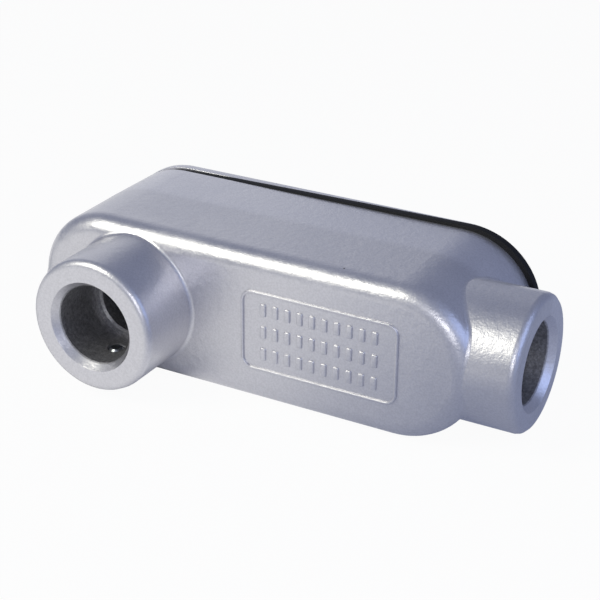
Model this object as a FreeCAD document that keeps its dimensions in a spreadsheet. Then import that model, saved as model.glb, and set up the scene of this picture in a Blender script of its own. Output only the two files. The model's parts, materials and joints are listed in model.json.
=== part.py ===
import FreeCAD, Part
import math
import os
import Sketcher
from FreeCAD import Placement, Rotation, Vector

# LB conduit body for 1/2 inch EMT conduit, lying on its long flat side.
# Frame: origin at the centre of the flat strip it lies on, +X along the box towards the end hub,
# +Y towards the cover, +Z up. Millimetres.

doc = FreeCAD.newDocument("conduit_body")
dims = doc.addObject("Spreadsheet::Sheet", "dims")

DIMENSIONS = [
    # box of the casting: a full round ended outline, as wide as it is high when it lies down
    ("end_radius", 18.2, "radius of both round ends, half the width of the box"),
    ("half_span", 36.8, "from the middle of the box to the centre of either round end"),
    ("joint_y", 7.6, "joint plane, where the gasket sits"),
    ("parting_y", -7.6, "parting line of the die, where the draft starts"),
    ("face_y", -27.8, "back face of the box"),
    ("draft", 0.7, "draft of the lower half, degrees"),
    ("face_round", 4.4, "round between the back face and the side wall"),
    ("wall", 2.4, "side wall and back wall"),
    # sockets, the same in both hubs
    ("socket_radius", 9.2, "bore for 17.9 mm tube"),
    ("lead_in_radius", 10.6, "mouth of the lead-in"),
    ("lead_in_depth", 1.9, "depth of the lead-in"),
    ("socket_depth", 14.8, "mouth to tube stop"),
    ("throat_radius", 7.4, "wire throat behind the tube stop"),
    ("throat_bevel", 0.5, "bevel at the tube stop, on the edge of each throat"),
    # back hub, square to the back face
    ("back_hub_x", -28.4, "axis of the back hub"),
    ("back_hub_radius", 15.6, "outside of the back hub"),
    ("back_hub_mouth_y", -44.8, "mouth of the back hub"),
    ("back_hub_root", 0.9, "fillet where the back hub meets the box"),
    # end hub, in line with the box
    ("end_hub_y", -11.9, "axis of the end hub"),
    ("end_hub_radius", 15.4, "outside of the end hub"),
    ("end_hub_mouth_x", 63.7, "mouth of the end hub"),
    ("end_hub_root", 1.2, "fillet where the end hub meets the box"),
    ("mouth_round", 1.8, "round at the rim of both mouths"),
    # raised bead round the marking panel
    ("panel_left", 0.15, "bead of the panel, outside"),
    ("panel_right", 38.2, "bead of the panel, outside"),
    ("panel_half", 9.6, "half the height of the panel"),
    ("panel_corner", 2.8, "outside corner of the bead"),
    ("bead_width", 0.7, "width of the bead"),
    ("bead_rise", 0.45, "height of the bead"),
    # cover, its gasket and its screws
    ("screw_x", 49.5, "cover screws from the middle of the box"),
    ("screw_boss_radius", 3.4, "boss round the tapped hole"),
    ("tapped_radius", 1.78, "tapped hole for a 3.5 mm screw"),
    ("tapped_depth", 9.0, "depth of the tapped hole"),
    ("gasket_radius", 17.8, "round ends of the gasket"),
    ("gasket_half_span", 37.0, "half the distance between its end centres"),
    ("gasket_thickness", 2.0, "sheet rubber"),
    ("gasket_rim", 5.0, "width of the gasket's band"),
    ("gasket_hole_radius", 3.6, "loose holes round the cover screws"),
    ("gasket_ear_radius", 6.0, "ear round each hole"),
    ("gasket_askew", 0.9, "turn of the gasket about the cover's normal, degrees"),
    ("gasket_shift_x", 0.95, "gasket moved towards the end hub"),
    ("gasket_shift_z", 0.65, "gasket moved up, at the middle of the box"),
    ("cover_thickness", 2.5, "cast cover plate"),
    ("cover_edge", 0.5, "bevel at the cover's outer edge"),
    ("cover_hole_radius", 2.1, "clearance hole for the cover screw"),
    ("screw_radius", 1.70, "cover screw shank"),
    ("screw_length", 12.7, "cover screw under its head"),
    ("head_radius", 3.4, "cover screw head"),
    ("head_height", 2.1, "cover screw head"),
    ("head_slot_width", 1.1, "driver slot"),
    ("head_slot_depth", 1.0, "driver slot"),
    # set screws
    ("set_hole_radius", 2.12, "tapped hole in the hub wall"),
    ("set_screw_radius", 2.05, "headless set screw"),
    ("set_screw_length", 7.9, "headless set screw"),
    ("set_screw_inset", 9.6, "from the mouth to the screw's axis"),
    ("set_screw_stand", 0.2, "cup point above the socket wall"),
    ("cup_radius", 1.3, "rim of the cup point"),
    ("cup_depth", 0.7, "hollow of the cup point"),
    ("point_height", 0.9, "cone from the thread to the cup point"),
    ("set_slot_width", 0.8, "driver slot"),
    ("set_slot_depth", 1.3, "driver slot"),
]

for row, (alias, value, note) in enumerate(DIMENSIONS, start=1):
    dims.set(f"A{row}", alias)
    dims.set(f"B{row}", str(value))
    dims.set(f"C{row}", note)
    dims.setAlias(f"B{row}", alias)
doc.recompute()


def value(alias):
    return float(dims.get(alias))


def new_body(name):
    body = doc.addObject("PartDesign::Body", name)
    body.Label = name
    return body


def origin_plane(body, role):
    for feature in body.Origin.OriginFeatures:
        if feature.Role == role:
            return feature
    raise ValueError(role)


def new_sketch(body, name, role, **offset):
    """Sketch on one of the body's origin planes; offset binds its x, y or z (along the normal)."""
    sketch = body.newObject("Sketcher::SketchObject", name)
    sketch.AttachmentSupport = [(origin_plane(body, role), "")]
    sketch.MapMode = "FlatFace"
    for axis, expression in offset.items():
        sketch.setExpression(f"AttachmentOffset.Base.{axis}", expression)
    return sketch


def bind(sketch, constraint, name, expression):
    """Adds a named dimension and ties it to the sheet."""
    index = sketch.addConstraint(constraint)
    sketch.renameConstraint(index, name)
    sketch.setExpression(f"Constraints.{name}", expression)


def calc(sketch, expression):
    """Value of a sheet expression, for the first position of the geometry."""
    return float(sketch.evalExpression(expression))


def pin(sketch, geometry, end, name, x, y):
    """Ties one point of the sketch to two expressions, measured from the sketch's origin."""
    bind(sketch, Sketcher.Constraint("DistanceX", -1, 1, geometry, end, calc(sketch, x)), name + "_x", x)
    bind(sketch, Sketcher.Constraint("DistanceY", -1, 1, geometry, end, calc(sketch, y)), name + "_y", y)


def polygon(sketch, points):
    """Closed outline of straight lines; each point is a pair of expressions."""
    corners = [Vector(calc(sketch, x), calc(sketch, y), 0) for x, y in points]
    count = len(points)
    lines = [
        sketch.addGeometry(Part.LineSegment(corners[i], corners[(i + 1) % count]))
        for i in range(count)
    ]
    for i in range(count):
        sketch.addConstraint(Sketcher.Constraint("Coincident", lines[i], 2, lines[(i + 1) % count], 1))
    for i, (x, y) in enumerate(points):
        pin(sketch, lines[i], 1, f"p{lines[i]}", x, y)
    return lines


def circle(sketch, x, y, radius):
    centre = Vector(calc(sketch, x), calc(sketch, y), 0)
    geometry = sketch.addGeometry(Part.Circle(centre, Vector(0, 0, 1), calc(sketch, radius)))
    bind(sketch, Sketcher.Constraint("Radius", geometry, calc(sketch, radius)), f"r{geometry}", radius)
    pin(sketch, geometry, 3, f"c{geometry}", x, y)
    return geometry


def stadium(sketch, left, right, middle, radius):
    """Outline with two full round ends; left and right are the centres of the ends."""
    r = calc(sketch, radius)
    x0 = calc(sketch, left)
    x1 = calc(sketch, right)
    y = calc(sketch, middle)
    up = Vector(0, 0, 1)
    top = sketch.addGeometry(Part.LineSegment(Vector(x0, y + r, 0), Vector(x1, y + r, 0)))
    quarter = math.pi / 2
    right_end = sketch.addGeometry(Part.ArcOfCircle(Part.Circle(Vector(x1, y, 0), up, r), -quarter, quarter))
    bottom = sketch.addGeometry(Part.LineSegment(Vector(x1, y - r, 0), Vector(x0, y - r, 0)))
    left_end = sketch.addGeometry(
        Part.ArcOfCircle(Part.Circle(Vector(x0, y, 0), up, r), quarter, 3 * quarter)
    )
    sketch.addConstraint([
        Sketcher.Constraint("Tangent", top, 2, right_end, 2),
        Sketcher.Constraint("Tangent", right_end, 1, bottom, 1),
        Sketcher.Constraint("Tangent", bottom, 2, left_end, 2),
        Sketcher.Constraint("Tangent", left_end, 1, top, 1),
        Sketcher.Constraint("Horizontal", top),
        Sketcher.Constraint("Horizontal", bottom),
    ])
    bind(sketch, Sketcher.Constraint("Radius", right_end, r), f"r{right_end}", radius)
    pin(sketch, right_end, 3, f"c{right_end}", right, middle)
    bind(
        sketch,
        Sketcher.Constraint("DistanceX", -1, 1, left_end, 3, x0),
        f"c{left_end}_x",
        left,
    )
    return top, right_end, bottom, left_end


def rounded_box(sketch, left, right, bottom, top, radius):
    """Rectangle with four equal round corners."""
    r = calc(sketch, radius)
    x0, x1 = calc(sketch, left), calc(sketch, right)
    y0, y1 = calc(sketch, bottom), calc(sketch, top)
    up = Vector(0, 0, 1)
    quarter = math.pi / 2
    corners = [
        (x1 - r, y1 - r, f"{right} - {radius}", f"{top} - {radius}"),
        (x0 + r, y1 - r, f"{left} + {radius}", f"{top} - {radius}"),
        (x0 + r, y0 + r, f"{left} + {radius}", f"{bottom} + {radius}"),
        (x1 - r, y0 + r, f"{right} - {radius}", f"{bottom} + {radius}"),
    ]
    arcs = [
        sketch.addGeometry(
            Part.ArcOfCircle(Part.Circle(Vector(x, y, 0), up, r), i * quarter, (i + 1) * quarter)
        )
        for i, (x, y, _, _) in enumerate(corners)
    ]
    ends = [
        (Vector(x1 - r, y1, 0), Vector(x0 + r, y1, 0)),
        (Vector(x0, y1 - r, 0), Vector(x0, y0 + r, 0)),
        (Vector(x0 + r, y0, 0), Vector(x1 - r, y0, 0)),
        (Vector(x1, y0 + r, 0), Vector(x1, y1 - r, 0)),
    ]
    for i, (start, end) in enumerate(ends):
        line = sketch.addGeometry(Part.LineSegment(start, end))
        sketch.addConstraint([
            Sketcher.Constraint("Tangent", arcs[i], 2, line, 1),
            Sketcher.Constraint("Tangent", line, 2, arcs[(i + 1) % 4], 1),
        ])
    bind(sketch, Sketcher.Constraint("Radius", arcs[0], r), f"r{arcs[0]}", radius)
    pin(sketch, arcs[0], 3, f"c{arcs[0]}", corners[0][2], corners[0][3])
    pin(sketch, arcs[2], 3, f"c{arcs[2]}", corners[2][2], corners[2][3])
    sketch.addConstraint([
        Sketcher.Constraint("Equal", arcs[0], arcs[2]),
        Sketcher.Constraint("Horizontal", arcs[0] + 4),
        Sketcher.Constraint("Vertical", arcs[0] + 5),
    ])


def pad(body, name, sketch, length, **settings):
    feature = body.newObject("PartDesign::Pad", name)
    feature.Profile = sketch
    feature.setExpression("Length", length)
    return finish(feature, settings)


def pocket(body, name, sketch, length, **settings):
    feature = body.newObject("PartDesign::Pocket", name)
    feature.Profile = sketch
    feature.setExpression("Length", length)
    return finish(feature, settings)


def turn(body, kind, name, sketch, axis):
    """Revolution or Groove, all the way round one of the sketch's own axes."""
    feature = body.newObject(f"PartDesign::{kind}", name)
    feature.Profile = sketch
    feature.ReferenceAxis = (sketch, [axis])
    feature.Angle = 360
    return finish(feature, {})


def finish(feature, settings):
    """Applies plain settings, ties those given as expressions, and checks the feature."""
    for key, setting in settings.items():
        if isinstance(setting, str):
            feature.setExpression(key, setting)
        else:
            setattr(feature, key, setting)
    doc.recompute()
    if "Invalid" in feature.State or "Error" in feature.State or feature.Shape.isNull():
        raise RuntimeError(f"{feature.Name}: {feature.State}")
    return feature


def dress_edges(body, kind, name, size, wanted):
    """Fillet or Chamfer on the edges of the body's tip that answer to wanted(edge)."""
    base = body.Tip
    names = [f"Edge{i}" for i, edge in enumerate(base.Shape.Edges, start=1) if wanted(edge)]
    if not names:
        raise RuntimeError(f"{name}: no edge found")
    feature = body.newObject(f"PartDesign::{kind}", name)
    feature.Base = (base, names)
    feature.setExpression("Radius" if kind == "Fillet" else "Size", size)
    return finish(feature, {})


def lies_at(edge, axis, position, slack=0.01):
    """True if the whole edge lies in the plane where the given axis has this value."""
    box = edge.BoundBox
    low = getattr(box, f"{axis}Min")
    high = getattr(box, f"{axis}Max")
    return abs(low - position) < slack and abs(high - position) < slack


def is_circle(edge, radius):
    return isinstance(edge.Curve, Part.Circle) and abs(edge.Curve.Radius - radius) < 0.01


MID = "dims.end_radius"

# ---------------------------------------------------------------------------------------------
# Casting: the box, both hubs, the screw bosses and the marking bead are one piece of aluminium.
# ---------------------------------------------------------------------------------------------
casting = new_body("casting")

rim_outline = new_sketch(casting, "rim_outline", "XZ_Plane", z="-dims.joint_y")
stadium(rim_outline, "-dims.half_span", "dims.half_span", MID, "dims.end_radius")
pad(casting, "straight_half", rim_outline, "dims.joint_y - dims.parting_y")

parting_outline = new_sketch(casting, "parting_outline", "XZ_Plane", z="-dims.parting_y")
stadium(parting_outline, "-dims.half_span", "dims.half_span", MID, "dims.end_radius")
pad(
    casting,
    "drafted_half",
    parting_outline,
    "dims.parting_y - dims.face_y",
    TaperAngle="-dims.draft",
)
face_y = value("face_y")
dress_edges(casting, "Fillet", "face_edge", "dims.face_round", lambda edge: lies_at(edge, "Y", face_y))

# Both hubs are turned shapes: each profile is half the section, from the axis outwards. The round
# at the rim of a mouth is eased in three straight steps, at 15, 45 and 75 degrees.
RIM_STEPS = (("0", "1"), ("0.134", "0.5"), ("0.5", "0.134"), ("1", "0"))


def rim(radius, mouth, inwards):
    """Corners of an eased rim, as (radius, place along the axis); inwards is + or -."""
    return [
        (f"{radius} - {down} * dims.mouth_round", f"{mouth} {inwards} {along} * dims.mouth_round")
        for down, along in RIM_STEPS
    ]


back_profile = new_sketch(casting, "back_hub_profile", "XY_Plane", x="dims.back_hub_x", z=MID)
polygon(back_profile, [
    ("0", "dims.face_y + dims.wall"),
    ("dims.back_hub_radius", "dims.face_y + dims.wall"),
    *rim("dims.back_hub_radius", "dims.back_hub_mouth_y", "+"),
    ("0", "dims.back_hub_mouth_y"),
])
turn(casting, "Revolution", "back_hub", back_profile, "V_Axis")

END_HUB_STOP = "dims.end_hub_mouth_x - dims.socket_depth - dims.wall"
end_profile = new_sketch(casting, "end_hub_profile", "XY_Plane", y="dims.end_hub_y", z=MID)
polygon(end_profile, [
    (f"{END_HUB_STOP} - dims.wall", "dims.end_hub_radius"),
    *((along, radius) for radius, along in rim("dims.end_hub_radius", "dims.end_hub_mouth_x", "-")),
    ("dims.end_hub_mouth_x", "0"),
    (f"{END_HUB_STOP} - dims.wall", "0"),
])
turn(casting, "Revolution", "end_hub", end_profile, "H_Axis")


def meets_back_hub(edge):
    """The seam between the back hub's cylinder and the box."""
    box = edge.BoundBox
    reach = value("back_hub_radius")
    from_axis = max(abs(box.XMin - value("back_hub_x")), abs(box.XMax - value("back_hub_x")))
    if from_axis > reach or box.YMin < face_y - 0.01 or box.YMax > face_y + 1.0:
        return False
    points = edge.discretize(5)
    axis = Vector(value("back_hub_x"), 0, value("end_radius"))
    return all(abs(math.hypot(p.x - axis.x, p.z - axis.z) - reach) < 0.1 for p in points)


def meets_end_hub(edge):
    """The seam between the end hub's cylinder and the round end of the box."""
    if edge.BoundBox.XMax > value("half_span") + value("end_radius") + 0.01:
        return False
    axis = Vector(0, value("end_hub_y"), value("end_radius"))
    radius = value("end_hub_radius")
    return all(abs(math.hypot(p.y - axis.y, p.z - axis.z) - radius) < 0.02 for p in edge.discretize(5))


dress_edges(casting, "Fillet", "back_hub_seam", "dims.back_hub_root", meets_back_hub)
dress_edges(casting, "Fillet", "end_hub_seam", "dims.end_hub_root", meets_end_hub)

# Cavity, open at the joint plane. The deep part stops short of the end hub, so that its socket keeps
# a full wall; above that socket a shallow part runs on to the round end.
CAVITY_RADIUS = "(dims.end_radius - dims.wall)"
SOCKET_ROOF = "(dims.end_hub_y + dims.socket_radius + dims.wall)"

deep_outline = new_sketch(casting, "deep_cavity_outline", "XZ_Plane", z="-dims.joint_y")
stadium(deep_outline, "-dims.half_span", f"{END_HUB_STOP} - 0.4 - {CAVITY_RADIUS}", MID, CAVITY_RADIUS)
pocket(casting, "deep_cavity", deep_outline, "dims.joint_y - dims.face_y - dims.wall", Reversed=True)
shallow_outline = new_sketch(casting, "shallow_cavity_outline", "XZ_Plane", z="-dims.joint_y")
stadium(shallow_outline, "0", "dims.half_span", MID, CAVITY_RADIUS)
pocket(casting, "shallow_cavity", shallow_outline, f"dims.joint_y - {SOCKET_ROOF}", Reversed=True)

# Bosses for the cover screws stand on the cavity's floor and on the roof of the end socket.
BOSS_BACK = "dims.screw_x + 1.4"
for side, left, right, foot in (
    ("left", f"-({BOSS_BACK})", "-dims.screw_x", "dims.face_y + dims.wall - 0.5"),
    ("right", "dims.screw_x", BOSS_BACK, f"{SOCKET_ROOF} - 0.5"),
):
    boss_outline = new_sketch(casting, f"{side}_boss_outline", "XZ_Plane", z="-dims.joint_y")
    stadium(boss_outline, left, right, MID, "dims.screw_boss_radius")
    pad(casting, f"{side}_boss", boss_outline, f"dims.joint_y - ({foot})")

    hole_outline = new_sketch(casting, f"{side}_tapped_outline", "XZ_Plane", z="-dims.joint_y")
    circle(hole_outline, "-dims.screw_x" if side == "left" else "dims.screw_x", MID, "dims.tapped_radius")
    pocket(casting, f"{side}_tapped_hole", hole_outline, "dims.tapped_depth", Reversed=True)

# Sockets: lead-in, tube bore, stop and wire throat are one turned cut from each mouth.
back_cut = new_sketch(casting, "back_socket_profile", "XY_Plane", x="dims.back_hub_x", z=MID)
polygon(back_cut, [
    ("0", "dims.back_hub_mouth_y - 1"),
    ("dims.lead_in_radius", "dims.back_hub_mouth_y - 1"),
    ("dims.lead_in_radius", "dims.back_hub_mouth_y"),
    ("dims.socket_radius", "dims.back_hub_mouth_y + dims.lead_in_depth"),
    ("dims.socket_radius", "dims.back_hub_mouth_y + dims.socket_depth"),
    ("dims.throat_radius", "dims.back_hub_mouth_y + dims.socket_depth"),
    ("dims.throat_radius", "dims.face_y + dims.wall + 1"),
    ("0", "dims.face_y + dims.wall + 1"),
])
turn(casting, "Groove", "back_socket", back_cut, "V_Axis")

end_cut = new_sketch(casting, "end_socket_profile", "XY_Plane", y="dims.end_hub_y", z=MID)
polygon(end_cut, [
    ("dims.end_hub_mouth_x + 1", "0"),
    ("dims.end_hub_mouth_x + 1", "dims.lead_in_radius"),
    ("dims.end_hub_mouth_x", "dims.lead_in_radius"),
    ("dims.end_hub_mouth_x - dims.lead_in_depth", "dims.socket_radius"),
    ("dims.end_hub_mouth_x - dims.socket_depth", "dims.socket_radius"),
    ("dims.end_hub_mouth_x - dims.socket_depth", "dims.throat_radius"),
    (f"{END_HUB_STOP} - 5", "dims.throat_radius"),
    (f"{END_HUB_STOP} - 5", "0"),
])
turn(casting, "Groove", "end_socket", end_cut, "H_Axis")


back_stop_y = value("back_hub_mouth_y") + value("socket_depth")
end_stop_x = value("end_hub_mouth_x") - value("socket_depth")


def is_throat_edge(edge):
    """The edge of each throat at its tube stop."""
    at_stop = lies_at(edge, "Y", back_stop_y) or lies_at(edge, "X", end_stop_x)
    return at_stop and is_circle(edge, value("throat_radius"))


dress_edges(casting, "Chamfer", "throat_edges", "dims.throat_bevel", is_throat_edge)

# Tapped hole for a set screw in the underside of each hub.
for side, x, y in (
    ("back_hub", "dims.back_hub_x", "dims.back_hub_mouth_y + dims.set_screw_inset"),
    ("end_hub", "dims.end_hub_mouth_x - dims.set_screw_inset", "dims.end_hub_y"),
):
    hole_outline = new_sketch(casting, f"{side}_set_outline", "XY_Plane")
    circle(hole_outline, x, y, "dims.set_hole_radius")
    pocket(casting, f"{side}_set_hole", hole_outline, "dims.end_radius - 4", Reversed=True)

# Bead round the marking panel on the back face.
bead_outline = new_sketch(casting, "bead_outline", "XZ_Plane", z="-dims.face_y - 0.2")
rounded_box(
    bead_outline,
    "dims.panel_left",
    "dims.panel_right",
    f"{MID} - dims.panel_half",
    f"{MID} + dims.panel_half",
    "dims.panel_corner",
)
rounded_box(
    bead_outline,
    "dims.panel_left + dims.bead_width",
    "dims.panel_right - dims.bead_width",
    f"{MID} - dims.panel_half + dims.bead_width",
    f"{MID} + dims.panel_half - dims.bead_width",
    "dims.panel_corner - dims.bead_width",
)
pad(casting, "marking_bead", bead_outline, "dims.bead_rise + 0.2")

# ---------------------------------------------------------------------------------------------
# Gasket: a die cut sheet of black rubber. It lies a little askew under the cover, its end-hub end
# proud of the casting and its other end tucked in, as its loose screw holes allow.
# ---------------------------------------------------------------------------------------------
gasket = new_body("gasket")
gasket_outline = new_sketch(gasket, "gasket_outline", "XZ_Plane", z="-dims.joint_y")
stadium(gasket_outline, "-dims.gasket_half_span", "dims.gasket_half_span", MID, "dims.gasket_radius")
GASKET_INSIDE = "(dims.gasket_radius - dims.gasket_rim)"
OPENING_END = f"(dims.screw_x - dims.gasket_ear_radius - {GASKET_INSIDE})"
stadium(gasket_outline, f"-{OPENING_END}", OPENING_END, MID, GASKET_INSIDE)
circle(gasket_outline, "-dims.screw_x", MID, "dims.gasket_hole_radius")
circle(gasket_outline, "dims.screw_x", MID, "dims.gasket_hole_radius")
pad(gasket, "gasket_sheet", gasket_outline, "dims.gasket_thickness", Reversed=True)

gasket_turn = Rotation(Vector(0, 1, 0), -value("gasket_askew"))
gasket_shift = Vector(value("gasket_shift_x"), 0, value("gasket_shift_z"))
gasket_middle = Vector(0, 0, value("end_radius"))
gasket.Placement = Placement(gasket_shift, gasket_turn, gasket_middle)

# ---------------------------------------------------------------------------------------------
# Cover: a cast plate with the outline of the box and two screw holes.
# ---------------------------------------------------------------------------------------------
COVER_INSIDE = "(dims.joint_y + dims.gasket_thickness)"
COVER_OUTSIDE = "(dims.joint_y + dims.gasket_thickness + dims.cover_thickness)"

cover = new_body("cover")
cover_outline = new_sketch(cover, "cover_outline", "XZ_Plane", z=f"-{COVER_INSIDE}")
stadium(cover_outline, "-dims.half_span", "dims.half_span", MID, "dims.end_radius")
circle(cover_outline, "-dims.screw_x", MID, "dims.cover_hole_radius")
circle(cover_outline, "dims.screw_x", MID, "dims.cover_hole_radius")
pad(cover, "cover_plate", cover_outline, "dims.cover_thickness", Reversed=True)

outside_y = value("joint_y") + value("gasket_thickness") + value("cover_thickness")
hole_radius = value("cover_hole_radius")
dress_edges(
    cover,
    "Chamfer",
    "cover_edge_bevel",
    "dims.cover_edge",
    lambda edge: lies_at(edge, "Y", outside_y) and not is_circle(edge, hole_radius),
)

# ---------------------------------------------------------------------------------------------
# Cover screws: slotted pan heads, turned profile with the driver slot cut across.
# ---------------------------------------------------------------------------------------------
HEAD_TOP = f"({COVER_OUTSIDE} + dims.head_height)"


def cover_screw(name, x, slot_angle):
    screw = new_body(name)
    profile = new_sketch(screw, f"{name}_profile", "XY_Plane", x=x, z=MID)
    tip = f"{COVER_OUTSIDE} - dims.screw_length"
    polygon(profile, [
        ("0", tip),
        ("dims.screw_radius", tip),
        ("dims.screw_radius", COVER_OUTSIDE),
        ("dims.head_radius", COVER_OUTSIDE),
        ("dims.head_radius", HEAD_TOP),
        ("0", HEAD_TOP),
    ])
    turn(screw, "Revolution", f"{name}_turned", profile, "V_Axis")
    top_y = outside_y + value("head_height")
    dress_edges(
        screw, "Chamfer", f"{name}_crown", "dims.head_height * 0.45", lambda edge: lies_at(edge, "Y", top_y)
    )

    slot = new_sketch(screw, f"{name}_slot_outline", "XZ_Plane", x=x, y=MID, z=f"-{HEAD_TOP}")
    slot.AttachmentOffset = Placement(slot.AttachmentOffset.Base, Rotation(Vector(0, 0, 1), slot_angle))
    polygon(slot, [
        ("-dims.head_radius - 1", "-dims.head_slot_width / 2"),
        ("dims.head_radius + 1", "-dims.head_slot_width / 2"),
        ("dims.head_radius + 1", "dims.head_slot_width / 2"),
        ("-dims.head_radius - 1", "dims.head_slot_width / 2"),
    ])
    pocket(screw, f"{name}_slot", slot, "dims.head_slot_depth", Reversed=True)
    return screw


cover_screw_left = cover_screw("cover_screw_left", "-dims.screw_x", 20)
cover_screw_right = cover_screw("cover_screw_right", "dims.screw_x", 75)

# ---------------------------------------------------------------------------------------------
# Set screws: headless, slotted at the outer end, with a cup point that bites the tube.
# ---------------------------------------------------------------------------------------------
SET_TIP = f"({MID} - dims.socket_radius + dims.set_screw_stand)"
SET_END = f"({SET_TIP} - dims.set_screw_length)"


def set_screw(name, x, y, slot_angle):
    screw = new_body(name)
    profile = new_sketch(screw, f"{name}_profile", "XZ_Plane", x=x, z=f"-({y})")
    polygon(profile, [
        ("0", f"{SET_TIP} - dims.cup_depth"),
        ("dims.cup_radius", SET_TIP),
        ("dims.set_screw_radius", f"{SET_TIP} - dims.point_height"),
        ("dims.set_screw_radius", SET_END),
        ("0", SET_END),
    ])
    turn(screw, "Revolution", f"{name}_turned", profile, "V_Axis")

    slot = new_sketch(screw, f"{name}_slot_outline", "XY_Plane", x=x, y=y, z=SET_END)
    slot.AttachmentOffset = Placement(slot.AttachmentOffset.Base, Rotation(Vector(0, 0, 1), slot_angle))
    polygon(slot, [
        ("-dims.set_screw_radius - 1", "-dims.set_slot_width / 2"),
        ("dims.set_screw_radius + 1", "-dims.set_slot_width / 2"),
        ("dims.set_screw_radius + 1", "dims.set_slot_width / 2"),
        ("-dims.set_screw_radius - 1", "dims.set_slot_width / 2"),
    ])
    pocket(screw, f"{name}_slot", slot, "dims.set_slot_depth", Reversed=True)
    return screw


set_screw_back_hub = set_screw(
    "set_screw_back_hub", "dims.back_hub_x", "dims.back_hub_mouth_y + dims.set_screw_inset", 35
)
set_screw_end_hub = set_screw(
    "set_screw_end_hub", "dims.end_hub_mouth_x - dims.set_screw_inset", "dims.end_hub_y", 100
)

# ---------------------------------------------------------------------------------------------
# Every feature has to be sound before anything is written.
# ---------------------------------------------------------------------------------------------
doc.recompute()
for item in doc.Objects:
    if "Invalid" in item.State or "Error" in item.State:
        raise RuntimeError(f"{item.Label}: {item.State}")

bodies = [item for item in doc.Objects if item.TypeId == "PartDesign::Body"]
for body in bodies:
    shape = body.Shape
    if shape.isNull() or not shape.isValid() or len(shape.Solids) != 1:
        raise RuntimeError(f"{body.Label}: not one valid solid")

os.makedirs("parts", exist_ok=True)
for body in bodies:
    body.Shape.exportStep(f"parts/{body.Label}.step")
    print(f"{body.Label}: {body.Shape.Volume:.1f} mm3")
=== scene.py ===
# Conduit body for 1/2 inch conduit, lying on its long flat side. Metres; +Y points to the cover.
import json
import math

import bmesh
import bpy
from mathutils import Matrix, Vector


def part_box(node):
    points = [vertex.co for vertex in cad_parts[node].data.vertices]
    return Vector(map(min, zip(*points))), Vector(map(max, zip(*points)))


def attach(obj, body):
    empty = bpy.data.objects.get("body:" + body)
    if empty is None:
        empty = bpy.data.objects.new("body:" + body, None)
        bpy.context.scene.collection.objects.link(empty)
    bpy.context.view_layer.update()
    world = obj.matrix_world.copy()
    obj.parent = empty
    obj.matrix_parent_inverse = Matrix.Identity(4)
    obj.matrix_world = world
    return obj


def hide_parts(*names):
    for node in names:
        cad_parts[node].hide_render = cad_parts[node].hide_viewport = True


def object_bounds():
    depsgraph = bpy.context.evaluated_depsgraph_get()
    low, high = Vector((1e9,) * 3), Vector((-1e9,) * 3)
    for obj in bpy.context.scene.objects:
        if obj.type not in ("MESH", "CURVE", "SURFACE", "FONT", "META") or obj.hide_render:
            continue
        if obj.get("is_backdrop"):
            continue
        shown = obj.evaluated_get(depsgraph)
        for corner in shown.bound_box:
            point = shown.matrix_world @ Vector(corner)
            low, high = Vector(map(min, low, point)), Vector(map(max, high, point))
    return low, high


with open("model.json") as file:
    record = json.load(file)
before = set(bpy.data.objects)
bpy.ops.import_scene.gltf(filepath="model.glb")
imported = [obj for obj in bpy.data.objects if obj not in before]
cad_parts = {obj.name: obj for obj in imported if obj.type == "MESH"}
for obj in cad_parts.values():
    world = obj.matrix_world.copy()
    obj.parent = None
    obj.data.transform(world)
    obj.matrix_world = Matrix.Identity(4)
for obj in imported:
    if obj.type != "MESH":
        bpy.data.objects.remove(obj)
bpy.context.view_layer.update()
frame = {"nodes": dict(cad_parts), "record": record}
nodes = frame["nodes"]
scene = bpy.context.scene
mm = 0.001


# ---------------------------------------------------------------------------------------------
# Studio: a sheet of white paper under the part, a large softbox high on the left in front, a small
# one in front on the right, and a weak cool one close on the right. The room around it is a cool
# grey with one pale corner.
# ---------------------------------------------------------------------------------------------
def linear(code):
    """An sRGB hex colour as the linear colour that a node takes."""
    steps = [int(code[i:i + 2], 16) / 255 for i in (1, 3, 5)]
    return [s / 12.92 if s <= 0.04045 else ((s + 0.055) / 1.055) ** 2.4 for s in steps] + [1.0]


def add(tree, kind, settings=None, links=None):
    """Adds one node. Settings are its own properties or the values of its sockets. Links tie its
    inputs to the outputs of other nodes, where a node alone stands for its first output."""
    node = tree.nodes.new(kind)
    for key, setting in (settings or {}).items():
        if isinstance(key, str) and hasattr(node, key):
            setattr(node, key, setting)
        else:
            node.inputs[key].default_value = setting
    for key, source in (links or {}).items():
        if isinstance(source, bpy.types.Node):
            source = source.outputs[0]
        tree.links.new(source, node.inputs[key])
    return node


def empty_tree(holder):
    holder.use_nodes = True
    holder.node_tree.nodes.clear()
    return holder.node_tree


bpy.ops.object.select_all(action="DESELECT")
bpy.ops.mesh.primitive_plane_add(size=6.0, location=(0, 0, 0))
floor = bpy.context.object
floor.name = "floor"
floor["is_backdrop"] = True

# White paper, lifted towards white where the camera sees it, so that only a soft shadow stays. In
# what shines it is lifted less, and its glow there is a painted shade that turns blue grey to the
# right. Between the back hub and the box it lies in their shadow, and a painted window set there
# keeps the lift out. None of it is brighter than white.
seen_lift, shining_lift = 0.95, 0.7
paper = bpy.data.materials.new("white_paper")
tree = empty_tree(paper)
path = add(tree, "ShaderNodeLightPath")
spot = add(tree, "ShaderNodeSeparateXYZ", {},
           {0: add(tree, "ShaderNodeNewGeometry").outputs["Position"]})
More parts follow.
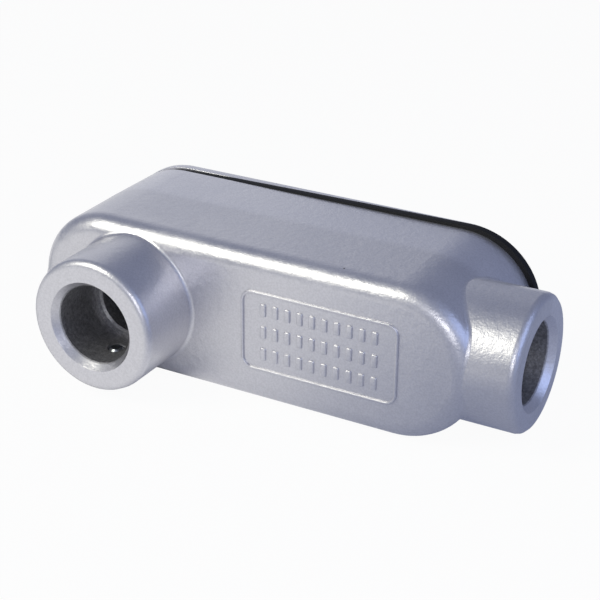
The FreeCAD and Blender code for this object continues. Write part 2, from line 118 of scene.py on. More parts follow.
# in what shines the paper turns from a painted blue grey shade on the right to white on the left;
# then the edges of the painted shadow window: beside the back hub, in front of it and under the box
left, beside_hub, before_hub, under_box = (
    add(tree, "ShaderNodeMapRange", {"interpolation_type": "SMOOTHSTEP", 1: start, 2: end},
        {0: spot.outputs[axis]})
    for axis, start, end in (("X", 0.05, -0.03), ("X", -0.019, -0.009),
                             ("Y", -0.040, -0.050), ("Y", -0.018, 0.0)))
seen = add(tree, "ShaderNodeMath", {"operation": "MAXIMUM"},
           {0: path.outputs["Is Camera Ray"], 1: path.outputs["Is Transmission Ray"]})
white = add(tree, "ShaderNodeMath", {"operation": "MAXIMUM"}, {0: seen, 1: left})
past_hub = add(tree, "ShaderNodeMath", {"operation": "MAXIMUM"}, {0: before_hub, 1: under_box})
lit = add(tree, "ShaderNodeMath", {"operation": "MAXIMUM"}, {0: beside_hub, 1: past_hub})
shining = add(tree, "ShaderNodeMath", {"operation": "MULTIPLY", 1: shining_lift},
              {0: path.outputs["Is Glossy Ray"]})
shining_lit = add(tree, "ShaderNodeMath", {"operation": "MULTIPLY"}, {0: shining, 1: lit})
seen_lit = add(tree, "ShaderNodeMath", {"operation": "MULTIPLY", 1: seen_lift}, {0: seen})
lift = add(tree, "ShaderNodeMath", {"operation": "MAXIMUM"}, {0: seen_lit, 1: shining_lit})
matt = add(tree, "ShaderNodeBsdfDiffuse", {"Color": linear("#f2f2f2")})
# the glow that shines back is painted shade: blue grey to the right, white to the left
tone = add(tree, "ShaderNodeMix", {"data_type": "RGBA", 6: linear("#7c84a0"), 7: linear("#ffffff")},
           {0: white})
glow = add(tree, "ShaderNodeEmission", {"Strength": 1.0}, {"Color": tone.outputs[2]})
mixed = add(tree, "ShaderNodeMixShader", {}, {0: lift, 1: matt, 2: glow})
add(tree, "ShaderNodeOutputMaterial", {}, {"Surface": mixed.outputs[0]})
floor.data.materials.append(paper)

scene.view_settings.view_transform = "Standard"
# The camera and what is seen through the part meet plain white. Everything that shines or is lit
# meets the room, whose pale corner lies far behind on the left.
studio = bpy.data.worlds.new("studio")
scene.world = studio
tree = empty_tree(studio)
path = add(tree, "ShaderNodeLightPath")
way = add(tree, "ShaderNodeSeparateXYZ", {}, {0: add(tree, "ShaderNodeTexCoord").outputs["Generated"]})
to_left, to_back = (
    add(tree, "ShaderNodeMapRange", {"interpolation_type": "SMOOTHSTEP", 1: start, 2: end},
        {0: way.outputs[axis]})
    for axis, start, end in (("X", -0.15, -0.6), ("Y", 0.2, 0.8)))
corner = add(tree, "ShaderNodeMath", {"operation": "MULTIPLY"}, {0: to_left, 1: to_back})
room = add(tree, "ShaderNodeMix", {"data_type": "RGBA", 6: linear("#767d96"), 7: linear("#dddfe6")},
           {0: corner})
around = add(tree, "ShaderNodeBackground", {"Strength": 1.0}, {"Color": room.outputs[2]})
plain = add(tree, "ShaderNodeBackground", {"Color": linear("#ffffff"), "Strength": 1.0})
seen = add(tree, "ShaderNodeMath", {"operation": "MAXIMUM"},
           {0: path.outputs["Is Camera Ray"], 1: path.outputs["Is Transmission Ray"]})
mixed = add(tree, "ShaderNodeMixShader", {}, {0: seen, 1: around, 2: plain})
add(tree, "ShaderNodeOutputWorld", {}, {"Surface": mixed.outputs[0]})


def softbox(name, place, aim, width, height, power, code):
    lamp = bpy.data.lights.new(name, "AREA")
    lamp.shape = "RECTANGLE"
    lamp.size = width
    lamp.size_y = height
    lamp.energy = power
    lamp.color = linear(code)[:3]
    stand = bpy.data.objects.new(name, lamp)
    stand.location = place
    stand.rotation_euler = (Vector(aim) - Vector(place)).to_track_quat("-Z", "Y").to_euler()
    scene.collection.objects.link(stand)


softbox("softbox_key", place=(-0.297, -0.41, 0.42), aim=(0, -0.02, 0.02),
        width=0.32, height=0.32, power=1.75, code="#fffdea")
softbox("softbox_front", place=(0.30, -0.49, 0.24), aim=(0.03, 0, 0.02),
        width=0.24, height=0.20, power=0.60, code="#ffffff")
softbox("softbox_right", place=(0.28, -0.02, 0.14), aim=(0.03, 0, 0.02),
        width=0.20, height=0.20, power=0.14, code="#b9cdff")

camera_place = (152.3 * mm, -281.9 * mm, 164.7 * mm)
azimuth = math.radians(28.43)
elevation = math.radians(25.29)
roll = math.radians(0.69)
camera = bpy.data.objects.new("camera", bpy.data.cameras.new("camera"))
camera.data.sensor_width = 36
camera.data.lens = 90.05
camera.data.clip_start = 0.01
camera.matrix_world = (
    Matrix.Translation(camera_place)
    @ Matrix.Rotation(azimuth, 4, "Z")
    @ Matrix.Rotation(math.pi / 2 - elevation, 4, "X")
    @ Matrix.Rotation(roll, 4, "Z")
)
scene.collection.objects.link(camera)
scene.camera = camera

# ---------------------------------------------------------------------------------------------
# Casting: the box and both hubs, one high pressure die casting of aluminium, shot blasted and
# sprayed with a silver lacquer. The lacquer pulls into a fine orange peel and is thin in the bores.
# The bores are also darkened with painted shade.
# ---------------------------------------------------------------------------------------------
casting_low, casting_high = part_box("casting")
end_radius = casting_high.z / 2
mouth_round = 1.8 * mm
tiny = 0.001 * mm  # points nearer than this count as one
hub_radius = {"back": 15.6 * mm, "end": 15.4 * mm}
mounts = {mount["name"]: Vector(mount["pos_m"]) for mount in frame["record"]["mounts"]}
back_axis_x = mounts["back_hub_bore"].x
end_axis_y = mounts["end_hub_bore"].y
face_y = mounts["back_face"].y


def alone(thing):
    """Selects one object and nothing else."""
    if bpy.context.object and bpy.context.object.mode != "OBJECT":
        bpy.ops.object.mode_set(mode="OBJECT")
    bpy.ops.object.select_all(action="DESELECT")
    thing.select_set(True)
    bpy.context.view_layer.objects.active = thing


def traced(node, name):
    """A new piece with a copy of a CAD node's mesh."""
    piece = bpy.data.objects.new(name, nodes[node].data.copy())
    scene.collection.objects.link(piece)
    alone(piece)
    return piece


box_casting = traced("casting", "casting_body")
mesh = box_casting.data
# The corner normals are kept in an attribute while the loose triangles are merged.
cad_normals = [tuple(corner.vector) for corner in mesh.corner_normals]
saved = mesh.attributes.new("cad_normal", "FLOAT_VECTOR", "CORNER")
for item, normal in zip(saved.data, cad_normals):
    item.vector = normal
# The bead of the marking panel is pressed flat here, and comes again below as a rounded bead.
panel_left, panel_right = 0.15 * mm, 38.2 * mm
panel_low, panel_high = 8.6 * mm, 27.8 * mm
beside, standing = 1 * mm, 0.3 * mm
for vertex in mesh.vertices:
    if (panel_left - beside < vertex.co.x < panel_right + beside
            and vertex.co.y < face_y - standing):
        vertex.co.y = face_y
bpy.ops.object.mode_set(mode="EDIT")
bpy.ops.mesh.select_all(action="SELECT")
bpy.ops.mesh.remove_doubles(threshold=tiny)
bpy.ops.object.mode_set(mode="OBJECT")
mesh = box_casting.data
turned = [Vector(item.vector) for item in mesh.attributes["cad_normal"].data]
mesh.attributes.remove(mesh.attributes["cad_normal"])
# The rim of each mouth is eased in three straight steps. Its shading follows the round itself.
# Each pair says how far a step's edge lies in from the hub's side and back from the mouth.
steps = ((0.0, 1.0), (0.134, 0.5), (0.5, 0.134), (1.0, 0.0))
close = 0.03 * mm
for polygon in mesh.polygons:
    places = [mesh.vertices[mesh.loops[i].vertex_index].co for i in polygon.loop_indices]
    for hub, mouth in (("back", -casting_low.y), ("end", casting_high.x)):
        if hub == "back":
            spots = [(Vector((p.x - back_axis_x, 0, p.z - end_radius)), mouth + p.y) for p in places]
            out = Vector((0, -1, 0))
        else:
            spots = [(Vector((0, p.y - end_axis_y, p.z - end_radius)), mouth - p.x) for p in places]
            out = Vector((1, 0, 0))
        found = []
        for radial, depth in spots:
            for k, (down, along) in enumerate(steps):
                if (abs(radial.length - (hub_radius[hub] - down * mouth_round)) < close
                        and abs(depth - along * mouth_round) < close):
                    found.append((k, radial.normalized()))
        ranks = {k for k, _ in found}
        if len(found) == len(places) and len(ranks) == 2:
            for i, (k, radial) in zip(polygon.loop_indices, found):
                angle = math.radians(90) * k / (len(steps) - 1)
                turned[i] = radial * math.cos(angle) + out * math.sin(angle)
mesh.normals_split_custom_set([tuple(n) for n in turned])
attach(box_casting, "casting")
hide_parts("casting")


def lacquered(name, tint, dull):
    """Silver lacquer on blasted die-cast aluminium: flakes of aluminium in a clear binder give a
    soft metal look, the binder's own gloss sits on top, and orange peel breaks every highlight."""
    skin = bpy.data.materials.new(name)
    tree = empty_tree(skin)
    place = add(tree, "ShaderNodeTexCoord").outputs["Object"]
    spot = add(tree, "ShaderNodeSeparateXYZ", {}, {0: place})

    def from_axis(axis, point):
        """Distance from a line along the axis through the point."""
        across = [float(c != axis) for c in "XYZ"]
        flat = add(tree, "ShaderNodeVectorMath", {"operation": "MULTIPLY", 1: across}, {0: place})
        foot = [0 if c == axis else v for c, v in zip("XYZ", point)]
        return add(tree, "ShaderNodeVectorMath", {"operation": "DISTANCE", 1: foot},
                   {0: flat.outputs[0]}).outputs["Value"]

    back = from_axis("Y", mounts["back_hub_bore"])
    end = from_axis("X", mounts["end_hub_bore"])
    # soft edges of the sockets' walls, their inner ends and the faces of the mouths, each from
    # clear of it to within it
    x, y = spot.outputs["X"], spot.outputs["Y"]
    back_wall, end_wall, back_inner, end_inner, back_mouth, end_mouth = (
        add(tree, "ShaderNodeMapRange", {"interpolation_type": "SMOOTHSTEP", 1: clear, 2: within},
            {0: source})
        for source, clear, within in (
            (back, 9.5 * mm, 9.3 * mm), (end, 9.5 * mm, 9.3 * mm),
            (y, -25.2 * mm, -25.6 * mm), (x, 47.0 * mm, 47.4 * mm),
            (y, -44.6 * mm, -44.75 * mm), (x, 63.5 * mm, 63.65 * mm)))
    in_back = add(tree, "ShaderNodeMath", {"operation": "MULTIPLY"}, {0: back_wall, 1: back_inner})
    in_end = add(tree, "ShaderNodeMath", {"operation": "MULTIPLY"}, {0: end_wall, 1: end_inner})
    in_bore = add(tree, "ShaderNodeMath", {"operation": "ADD"}, {0: in_back, 1: in_end})
    on_face = add(tree, "ShaderNodeMath", {"operation": "ADD"}, {0: back_mouth, 1: end_mouth})

    cloud = add(tree, "ShaderNodeTexNoise", {"Scale": 1 / (14 * mm), "Detail": 3.0}, {"Vector": place})
    blotch = add(tree, "ShaderNodeMix", {"data_type": "RGBA", 6: linear(dull), 7: linear(tint)},
                 {0: cloud.outputs["Fac"]})
    flake = add(tree, "ShaderNodeTexNoise", {"Scale": 1 / (0.45 * mm), "Detail": 2.0},
                {"Vector": place})
    speck = add(tree, "ShaderNodeTexNoise", {"Scale": 1 / (0.9 * mm), "Detail": 4.0, "Roughness": 0.7},
                {"Vector": place})
    pore = add(tree, "ShaderNodeTexVoronoi", {"Scale": 1 / (17 * mm), "Randomness": 1.0},
               {"Vector": place})
    pit_place = (23.3 * mm, -24.3 * mm, 36.2 * mm)
    pit = add(tree, "ShaderNodeVectorMath", {"operation": "DISTANCE", 1: pit_place}, {0: place})
    # How bright the lacquer is: it glints from flake to flake. The half of the box nearer the cover is
    # made brighter. In the bores the spray is thin and the cast skin shows, darker and speckled, and
    # they are darkened more as painted shade for their dim inside. Casting porosity leaves dark pits
    # 0.3 to 0.6 mm wide, which seldom meet the skin, and one that does on the upper side near the
    # back.
    glint, half, bore_skin_and_shade_range, pores, one_pit = (
        add(tree, "ShaderNodeMapRange",
            {"interpolation_type": "SMOOTHSTEP", 1: low, 2: high, 3: at_low, 4: at_high}, {0: source})
        for source, low, high, at_low, at_high in (
            (flake, 0.3, 0.7, 0.95, 1.05),
            (y, -9.4 * mm, -5.8 * mm, 0.95, 1.06),
            (speck, 0.30, 0.75, 0.38, 0.68),
            (pore, 0.008, 0.018, 0.35, 1.0),
            (pit.outputs["Value"], 0.12 * mm, 0.32 * mm, 0.15, 1.0)))
    # in the bores the colour is darkened, for the thin spray and as painted shade for their dim inside
    bore_skin_and_shade = add(tree, "ShaderNodeMix", {"data_type": "FLOAT", 2: 1.0}, {0: in_bore, 3: bore_skin_and_shade_range})
    sound = add(tree, "ShaderNodeMath", {"operation": "MULTIPLY"}, {0: pores, 1: one_pit})
    skin_tone = add(tree, "ShaderNodeMath", {"operation": "MULTIPLY"}, {0: glint, 1: half})
    pits_and_bore_shade = add(tree, "ShaderNodeMath", {"operation": "MULTIPLY"}, {0: bore_skin_and_shade, 1: sound})
    shade = add(tree, "ShaderNodeMath", {"operation": "MULTIPLY"}, {0: skin_tone, 1: pits_and_bore_shade})
    colour = add(tree, "ShaderNodeVectorMath", {"operation": "SCALE"},
                 {0: blotch.outputs[2], "Scale": shade})

    # orange peel about 1.6 mm across and 0.08 mm high, over a blasted grain of about 0.4 mm; the
    # mouths keep faint rings from the trimming tool, drawn 1.1 mm apart so that they show
    peel = add(tree, "ShaderNodeTexNoise", {"Scale": 1 / (1.6 * mm), "Detail": 2.0, "Roughness": 0.5},
               {"Vector": place})
    grain = add(tree, "ShaderNodeTexNoise", {"Scale": 1 / (0.40 * mm), "Detail": 1.0},
                {"Vector": place})
    around_hub = add(tree, "ShaderNodeMath", {"operation": "MINIMUM"}, {0: back, 1: end})
    turns = add(tree, "ShaderNodeMath", {"operation": "MULTIPLY", 1: 2 * math.pi / (1.1 * mm)},
                {0: around_hub})
    rings = add(tree, "ShaderNodeMath", {"operation": "SINE"}, {0: turns})
    rings_on_face = add(tree, "ShaderNodeMath", {"operation": "MULTIPLY"}, {0: rings, 1: on_face})
    rough_skin = add(tree, "ShaderNodeBump", {"Strength": 1.0, "Distance": 0.022 * mm},
                     {"Height": grain.outputs["Fac"]})
    ringed_skin = add(tree, "ShaderNodeBump", {"Strength": 1.0, "Distance": 0.006 * mm},
                      {"Height": rings_on_face, "Normal": rough_skin})
    wavy_skin = add(tree, "ShaderNodeBump", {"Strength": 1.0, "Distance": 0.080 * mm},
                    {"Height": peel.outputs["Fac"], "Normal": ringed_skin})
    dulled = add(tree, "ShaderNodeMapRange",
                 {"interpolation_type": "SMOOTHSTEP", 1: 0.3, 2: 0.7, 3: 0.37, 4: 0.45},
                 {0: cloud.outputs["Fac"]})
    gloss = add(tree, "ShaderNodeMix", {"data_type": "FLOAT", 3: 0.6}, {0: in_bore, 2: dulled})
    shader = add(tree, "ShaderNodeBsdfPrincipled",
                 {"Metallic": 0.9, "Coat Weight": 0.5, "Coat Roughness": 0.09},
                 {"Base Color": colour, "Roughness": gloss, "Normal": wavy_skin,
                  "Coat Normal": wavy_skin})
    add(tree, "ShaderNodeOutputMaterial", {}, {"Surface": shader.outputs[0]})
    return skin


def finish_with(material, *pieces):
    for piece in pieces:
        piece.data.materials.clear()
        piece.data.materials.append(material)


lacquer = lacquered("silver_lacquer_on_die_cast_aluminium", "#e4e3e7", "#d8d7dc")
finish_with(lacquer, box_casting, nodes["casting"])

# ---------------------------------------------------------------------------------------------
# Marking panel: a raised bead with rounded corners frames three even rows of plain raised bars,
# where a maker's marking would stand. Both are cut into the die, so they are the casting's own
# metal under the same lacquer.
# ---------------------------------------------------------------------------------------------
panel_corner, bead_width, bead_rise, bead_round = 2.8 * mm, 0.7 * mm, 0.45 * mm, 0.27 * mm
sunk = 0.1 * mm  # how far bead and bars reach into the face, so that no gap shows


def settle(piece):
    """Leaves the piece at the origin, with its place in its mesh."""
    alone(piece)
    bpy.ops.object.transform_apply(location=True, rotation=True, scale=True)


def edit(mode):
    bpy.ops.object.mode_set(mode="EDIT")
    bpy.ops.mesh.select_mode(type=mode)
    bpy.ops.mesh.select_all(action="DESELECT")
    return bmesh.from_edit_mesh(bpy.context.object.data)


def pick(parts, wanted):
    """Selects the vertices, edges or faces that answer to wanted."""
    for part in parts:
        part.select = bool(wanted(part))
    bmesh.update_edit_mesh(bpy.context.object.data)


def upright_plate(name, left, right, low, high, y):
    """A flat rectangle that faces -Y."""
    bpy.ops.object.select_all(action="DESELECT")
    bpy.ops.mesh.primitive_plane_add(
        size=1, location=((left + right) / 2, y, (low + high) / 2), rotation=(math.pi / 2, 0, 0))
    plate = bpy.context.object
    plate.name = name
    plate.scale = (right - left, high - low, 1)
    settle(plate)
    return plate


bead = upright_plate("marking_bead", panel_left, panel_right, panel_low, panel_high, face_y + sunk)
edit("VERT")
bpy.ops.mesh.select_all(action="SELECT")
bpy.ops.mesh.bevel(offset=panel_corner, offset_type="OFFSET", segments=10, affect="VERTICES")
bpy.ops.mesh.select_mode(type="FACE")
bpy.ops.mesh.select_all(action="SELECT")
bpy.ops.mesh.inset(thickness=bead_width, depth=0)
bpy.ops.mesh.delete(type="FACE")
bpy.ops.mesh.select_all(action="SELECT")
bpy.ops.mesh.extrude_region_move(TRANSFORM_OT_translate={"value": (0, -(bead_rise + sunk), 0)})
mesh_now = bmesh.from_edit_mesh(bead.data)
crest = face_y - bead_rise
bpy.ops.mesh.select_mode(type="EDGE")
pick(mesh_now.edges, lambda e: all(abs(v.co.y - crest) < tiny for v in e.verts)
     and any(abs(f.normal.y) < 0.5 for f in e.link_faces))
bpy.ops.mesh.bevel(offset=bead_round, segments=3, profile=0.5)
bpy.ops.mesh.select_all(action="SELECT")
bpy.ops.mesh.normals_make_consistent(inside=False)
bpy.ops.object.mode_set(mode="OBJECT")
bpy.ops.object.shade_smooth_by_angle(angle=math.radians(50))

bar_rise, bar_width, bar_height, bar_gap = 0.34 * mm, 1.6 * mm, 3.2 * mm, 1.4 * mm
bar_corner, bar_round, bar_taper = 0.4 * mm, 0.16 * mm, (0.84, 1, 0.90)
bars_across, rows, row_margin = 10, 3, 0.6
pitch = bar_width + bar_gap
first = (panel_left + panel_right - (bars_across * pitch - bar_gap)) / 2
row_pitch = (panel_high - panel_low) / (rows + row_margin)
bars = []
for row in range(rows):
    low = (panel_low + panel_high - bar_height) / 2 + (row - (rows - 1) / 2) * row_pitch
    high = low + bar_height
    bar = upright_plate(f"bar_{row}", first, first + bar_width, low, high, face_y + sunk)
    edit("VERT")
    bpy.ops.mesh.select_all(action="SELECT")
    bpy.ops.mesh.bevel(offset=bar_corner, offset_type="OFFSET", segments=3, affect="VERTICES")
    bpy.ops.mesh.select_mode(type="FACE")
    bpy.ops.mesh.select_all(action="SELECT")
    bpy.ops.mesh.extrude_region_move(TRANSFORM_OT_translate={"value": (0, -(bar_rise + sunk), 0)})
    centre = (first + bar_width / 2, 0, (low + high) / 2)
    bpy.ops.transform.resize(value=bar_taper, center_override=centre)
    mesh_now = bmesh.from_edit_mesh(bar.data)
    crest = face_y - bar_rise
    bpy.ops.mesh.select_mode(type="EDGE")
    pick(mesh_now.edges, lambda e: all(abs(v.co.y - crest) < tiny for v in e.verts))
    bpy.ops.mesh.bevel(offset=bar_round, segments=2, profile=0.5)
    bpy.ops.mesh.select_all(action="SELECT")
    bpy.ops.mesh.normals_make_consistent(inside=False)
    bpy.ops.object.mode_set(mode="OBJECT")
    bars.append(bar)
    for _ in range(bars_across - 1):
        alone(bars[-1])
        bpy.ops.object.duplicate(linked=False)
        bpy.ops.transform.translate(value=(pitch, 0, 0))
        settle(bpy.context.object)
        bars.append(bpy.context.object)
alone(bars[0])
for bar in bars:
    bar.select_set(True)
bpy.ops.object.join()
marking = bpy.context.object
marking.name = "marking_bars"
settle(marking)
bpy.ops.object.shade_smooth_by_angle(angle=math.radians(50))
for piece in (bead, marking):
    finish_with(lacquer, piece)
    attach(piece, "casting")

# ---------------------------------------------------------------------------------------------
# Gasket: die cut from 2 mm black sheet rubber. Squeezed between casting and cover, its cut edge
# swells and rounds over a little.
# ---------------------------------------------------------------------------------------------
gasket = traced("gasket", "sheet_gasket")


def join_facets(piece):
    """Joins the loose triangles of a CAD mesh into its flat faces."""
    alone(piece)
    bpy.ops.mesh.customdata_custom_splitnormals_clear()
    bpy.ops.object.mode_set(mode="EDIT")
    bpy.ops.mesh.select_all(action="SELECT")
    bpy.ops.mesh.remove_doubles(threshold=tiny)
    bpy.ops.mesh.dissolve_limited(angle_limit=math.radians(1))
    bpy.ops.object.mode_set(mode="OBJECT")


def ease_edges(piece, width, segments, sharp=60):
    """Rounds every edge where two faces meet at more than the sharp angle."""
    alone(piece)
    softening = piece.modifiers.new("eased", "BEVEL")
    softening.width = width
    softening.segments = segments
    softening.limit_method = "ANGLE"
    softening.angle_limit = math.radians(sharp)
    softening.harden_normals = False
    bpy.ops.object.modifier_apply(modifier=softening.name)
    bpy.ops.object.shade_smooth_by_angle(angle=math.radians(35))


def weld(piece, gap):
    """Takes out the slivers that cutting and rounding leave, so that the shell stays closed."""
    alone(piece)
    bpy.ops.object.mode_set(mode="EDIT")
    bpy.ops.mesh.select_all(action="SELECT")
    bpy.ops.mesh.remove_doubles(threshold=gap)
    bpy.ops.mesh.select_all(action="SELECT")
    bpy.ops.mesh.dissolve_degenerate(threshold=gap)
    bpy.ops.object.mode_set(mode="OBJECT")


join_facets(gasket)
# its long upper edge bows up a little between the screws, where the cover squeezes it out
bow_from, bow_to, bow_rise, bow_steps = -34 * mm, 36 * mm, 0.2 * mm, 16
upper_edge = 34 * mm
edit("FACE")
for step in range(1, bow_steps):
    cut_x = bow_from + (bow_to - bow_from) * step / bow_steps
    bpy.ops.mesh.select_all(action="SELECT")
    bpy.ops.mesh.bisect(plane_co=(cut_x, 0, 0), plane_no=(1, 0, 0))
bm = bmesh.from_edit_mesh(gasket.data)
for vertex in bm.verts:
    if vertex.co.z > upper_edge and bow_from < vertex.co.x < bow_to:
        share = (vertex.co.x - bow_from) / (bow_to - bow_from)
        vertex.co.z += bow_rise * math.sin(math.pi * share ** 0.5)
bmesh.update_edit_mesh(gasket.data)
bpy.ops.object.mode_set(mode="OBJECT")
ease_edges(gasket, 0.18 * mm, 3)
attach(gasket, "cover")
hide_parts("gasket")

# Neoprene sheet: nearly black, matt with a faint oily sheen, its skin slightly pebbled by the
# cloth it was cured on and greyed in places by dust.
neoprene = bpy.data.materials.new("black_neoprene_sheet")
tree = empty_tree(neoprene)
place = add(tree, "ShaderNodeTexCoord").outputs["Object"]
pebble = add(tree, "ShaderNodeTexVoronoi", {"Scale": 1 / (0.6 * mm)}, {"Vector": place})
dust = add(tree, "ShaderNodeTexNoise", {"Scale": 1 / (5 * mm), "Detail": 4.0}, {"Vector": place})
black = add(tree, "ShaderNodeMix", {"data_type": "RGBA", 6: linear("#08080a"), 7: linear("#141416")},
            {0: dust.outputs["Fac"]})
pebbled = add(tree, "ShaderNodeBump", {"Strength": 0.6, "Distance": 0.03 * mm},
              {"Height": pebble.outputs["Distance"]})
shader = add(tree, "ShaderNodeBsdfPrincipled",
             {"Roughness": 0.66, "IOR": 1.52, "Specular IOR Level": 0.35},
             {"Base Color": black.outputs[2], "Normal": pebbled.outputs[0]})
add(tree, "ShaderNodeOutputMaterial", {}, {"Surface": shader.outputs[0]})
finish_with(neoprene, gasket, nodes["gasket"])

# ---------------------------------------------------------------------------------------------
# Cover: a die-cast plate with two plain holes, trimmed, blasted and lacquered like the casting.
# Blasting leaves a small round on all its edges.
# ---------------------------------------------------------------------------------------------
cover = traced("cover", "cover_plate")
join_facets(cover)
ease_edges(cover, 0.16 * mm, 3, sharp=30)
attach(cover, "cover")
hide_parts("cover")
finish_with(lacquer, cover, nodes["cover"])

# ---------------------------------------------------------------------------------------------
# Cover screws: 32 threads to the inch, rolled from steel wire, with slotted pan heads, zinc plated
# and passivated clear.
# ---------------------------------------------------------------------------------------------
thread_pitch = 25.4 / 32 * mm
thread_depth = 0.54 * thread_pitch


def threaded_rod(name, crest, length):
    """A rod with a cut thread that stands on the origin along +Z."""
    root = crest - thread_depth
    bpy.ops.object.select_all(action="DESELECT")
    bpy.ops.mesh.primitive_plane_add(size=1)
    rod = bpy.context.object
    rod.name = name
    bm = edit("VERT")
    bm.verts.ensure_lookup_table()
    corner = max(bm.verts, key=lambda v: v.co.x + v.co.y)
    pick(bm.verts, lambda v: v is corner)
    bpy.ops.mesh.delete(type="VERT")
    bm = bmesh.from_edit_mesh(rod.data)
    chain = sorted(bm.verts, key=lambda v: v.co.x - v.co.y)
    for v, (radius, height) in zip(chain, ((root, 0), (crest, 0.5), (root, 1))):
        v.co = Vector((radius, 0, (height - 1) * thread_pitch))
    bmesh.update_edit_mesh(rod.data)
    bpy.ops.object.mode_set(mode="OBJECT")
    helix = rod.modifiers.new("thread", "SCREW")
    helix.axis = "Z"
    helix.screw_offset = thread_pitch
    helix.iterations = math.ceil(length / thread_pitch) + 2
    helix.steps = helix.render_steps = 24
    helix.use_merge_vertices = True
    helix.merge_threshold = tiny
    bpy.ops.object.modifier_apply(modifier=helix.name)
    bpy.ops.object.mode_set(mode="EDIT")
    bpy.ops.mesh.select_all(action="SELECT")
    bpy.ops.mesh.remove_doubles(threshold=tiny)
    for height, above in ((0, False), (length, True)):
        bpy.ops.mesh.select_all(action="SELECT")
        bpy.ops.mesh.bisect(plane_co=(0, 0, height), plane_no=(0, 0, 1), use_fill=True,
                            clear_inner=not above, clear_outer=above)
    bpy.ops.mesh.select_all(action="SELECT")
    bpy.ops.mesh.normals_make_consistent(inside=False)
    bpy.ops.object.mode_set(mode="OBJECT")
    return rod


def cut(piece, tool, how):
    """Boolean of the piece with a tool, which is then thrown away."""
    alone(piece)
    work = piece.modifiers.new(how.lower(), "BOOLEAN")
    work.operation = how
    work.solver = "EXACT"
    work.object = tool
    bpy.ops.object.modifier_apply(modifier=work.name)
    bpy.data.objects.remove(tool)


def round_bar(radius, low, high, tip=0.0, tail=0.0):
    """A cylinder along Z with both end edges chamfered."""
    bpy.ops.object.select_all(action="DESELECT")
    bpy.ops.mesh.primitive_cylinder_add(vertices=48, radius=radius, depth=high - low,
                                        location=(0, 0, (low + high) / 2))
    bar = bpy.context.object
    settle(bar)
    for level, size in ((low, tail), (high, tip)):
        if size:
            bm = edit("EDGE")
            pick(bm.edges, lambda e: all(abs(v.co.z - level) < tiny for v in e.verts))
            bpy.ops.mesh.bevel(offset=size, segments=1)
            bpy.ops.object.mode_set(mode="OBJECT")
    return bar


def slot_cutter(width, depth, top):
    bpy.ops.object.select_all(action="DESELECT")
    bpy.ops.mesh.primitive_cube_add(size=1, location=(0, 0, top))
    cutter = bpy.context.object
    cutter.scale = (12 * mm, width, 2 * depth)
    settle(cutter)
    return cutter


def pan_screw(name, node, turn):
    """A pan head screw, modelled upright at the origin with its head upwards, then laid along the
    hole of its node."""
    low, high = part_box(node)
    length = high.y - low.y
    head_height, head_radius, head_round = 2.1 * mm, (high.z - low.z) / 2, 1.15 * mm
    shank = 1.70 * mm
    under = length - head_height
    screw = threaded_rod(name, shank, under)
    cut(screw, round_bar(shank + 0.1 * mm, 0, under + 0.5 * mm, tail=0.45 * mm), "INTERSECT")
    head = round_bar(head_radius, under - 0.02 * mm, length)
    bm = edit("EDGE")
    pick(bm.edges, lambda e: all(abs(v.co.z - length) < tiny for v in e.verts))
    bpy.ops.mesh.bevel(offset=head_round, segments=8, profile=0.42)
    bpy.ops.object.mode_set(mode="OBJECT")
    cut(screw, head, "UNION")
    cut(screw, slot_cutter(width=1.1 * mm, depth=1.0 * mm, top=length), "DIFFERENCE")
    weld(screw, 0.01 * mm)
    ease_edges(screw, 0.05 * mm, 2, sharp=50)
    weld(screw, tiny)
    screw.rotation_euler = (0, 0, math.radians(turn))
    settle(screw)
    screw.rotation_euler = (-math.pi / 2, 0, 0)
    screw.location = ((low.x + high.x) / 2, low.y, (low.z + high.z) / 2)
    settle(screw)
    return screw


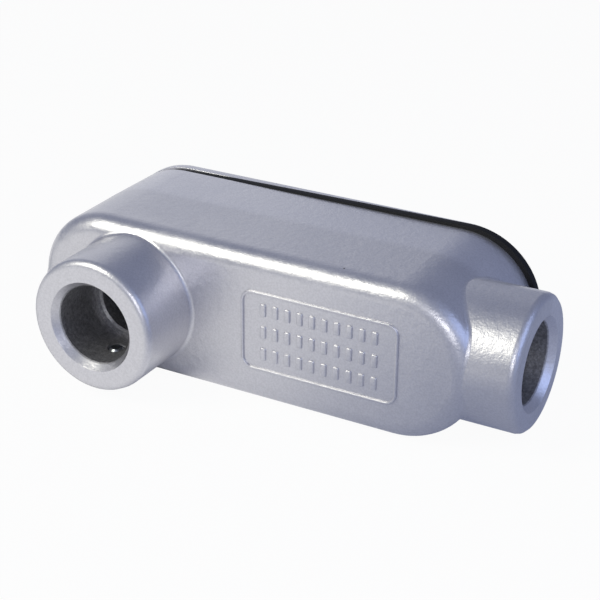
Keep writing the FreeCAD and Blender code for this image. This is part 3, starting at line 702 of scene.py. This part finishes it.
# Zinc plate with a clear passivate: bright, faintly blue, with a fine grain of scratches and small
# dull clouds where it was handled.
zinc = bpy.data.materials.new("bright_zinc_plated_steel")
tree = empty_tree(zinc)
place = add(tree, "ShaderNodeTexCoord").outputs["Object"]
cloud = add(tree, "ShaderNodeTexNoise", {"Scale": 1 / (1.5 * mm), "Detail": 5.0}, {"Vector": place})
silver = add(tree, "ShaderNodeMix", {"data_type": "RGBA", 6: linear("#a9adb3"), 7: linear("#c4c8ce")},
             {0: cloud.outputs["Fac"]})
dulled = add(tree, "ShaderNodeMapRange", {1: 0.35, 2: 0.65, 3: 0.20, 4: 0.36},
             {0: cloud.outputs["Fac"]})
scratch = add(tree, "ShaderNodeTexNoise", {"Scale": 1 / (0.12 * mm), "Detail": 2.0}, {"Vector": place})
scuffed = add(tree, "ShaderNodeBump", {"Strength": 0.5, "Distance": 0.004 * mm},
              {"Height": scratch.outputs["Fac"]})
shader = add(tree, "ShaderNodeBsdfPrincipled", {"Metallic": 1.0},
             {"Base Color": silver.outputs[2], "Roughness": dulled.outputs[0],
              "Normal": scuffed.outputs[0]})
add(tree, "ShaderNodeOutputMaterial", {}, {"Surface": shader.outputs[0]})

for side, turn in (("left", 20), ("right", 75)):
    node = f"cover_screw_{side}"
    screw = pan_screw(f"pan_head_screw_{side}", node, turn)
    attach(screw, node)
    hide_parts(node)
    finish_with(zinc, screw, nodes[node])

# ---------------------------------------------------------------------------------------------
# Set screws: headless, cup pointed and slotted, run up through the underside of each hub. Their
# hardened points come out bright from the same zinc bath.
# ---------------------------------------------------------------------------------------------
def cup_screw(name, node, turn):
    low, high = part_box(node)
    crest, length = (high.x - low.x) / 2, high.z - low.z
    screw = threaded_rod(name, crest, length)
    cut(screw, round_bar(crest + 0.1 * mm, 0, length, tip=0.85 * mm, tail=0.35 * mm), "INTERSECT")
    bpy.ops.object.select_all(action="DESELECT")
    bpy.ops.mesh.primitive_cone_add(vertices=48, radius1=0, radius2=2.0 * mm, depth=1.1 * mm,
                                    location=(0, 0, length - 0.15 * mm))
    cup = bpy.context.object
    settle(cup)
    cut(screw, cup, "DIFFERENCE")
    cut(screw, slot_cutter(width=0.8 * mm, depth=1.3 * mm, top=0), "DIFFERENCE")
    screw.rotation_euler = (0, 0, math.radians(turn))
    screw.location = ((low.x + high.x) / 2, (low.y + high.y) / 2, low.z)
    settle(screw)
    weld(screw, 0.01 * mm)
    bpy.ops.object.shade_smooth_by_angle(angle=math.radians(35))
    return screw


for hub, turn in (("back_hub", 35), ("end_hub", 100)):
    node = f"set_screw_{hub}"
    screw = cup_screw(f"cup_point_screw_{hub}", node, turn)
    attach(screw, node)
    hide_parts(node)
    finish_with(zinc, screw, nodes[node])

low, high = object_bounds()
